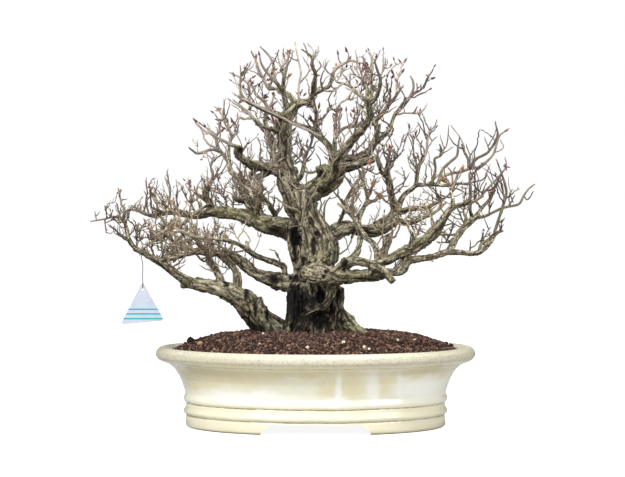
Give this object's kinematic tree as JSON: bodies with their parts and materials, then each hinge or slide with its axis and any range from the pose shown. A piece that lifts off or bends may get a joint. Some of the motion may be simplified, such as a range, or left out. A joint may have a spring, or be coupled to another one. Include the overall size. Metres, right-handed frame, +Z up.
{
  "type": "bonsai tree",
  "caption": "Gnarled bonsai tree in winter without leaves, in a mound of grained soil in an oval glazed pot on two C-shaped feet, with a blank triangular tag on a thread.",
  "frame": {"origin": "middle of the oval pot at the height of its feet", "axes": "+Z up, +X to the right of someone who faces the tree's front, so the front looks along -Y"},
  "size_m": [0.6674, 0.38, 0.5823],
  "materials": {
    "glaze": "glossy ivory glaze with yellow pools and pale drips",
    "soil": "dull dark red-brown baked clay grains",
    "bark": "weathered grey-brown bark with moss",
    "thread": "grey cotton thread",
    "tag": "thin clear plastic with a milky tint",
    "screen": "dull black plastic net",
    "wire": "dull aluminium wire"
  },
  "bodies": {
    "root": {"pot": "glaze", "soil": "soil", "tree": "bark", "tag_thread": "thread", "tag": "tag", "drainage_screen_left": "screen", "drainage_screen_right": "screen", "screen_wire_left": "wire", "screen_wire_right": "wire"}
  },
  "joints": []
}
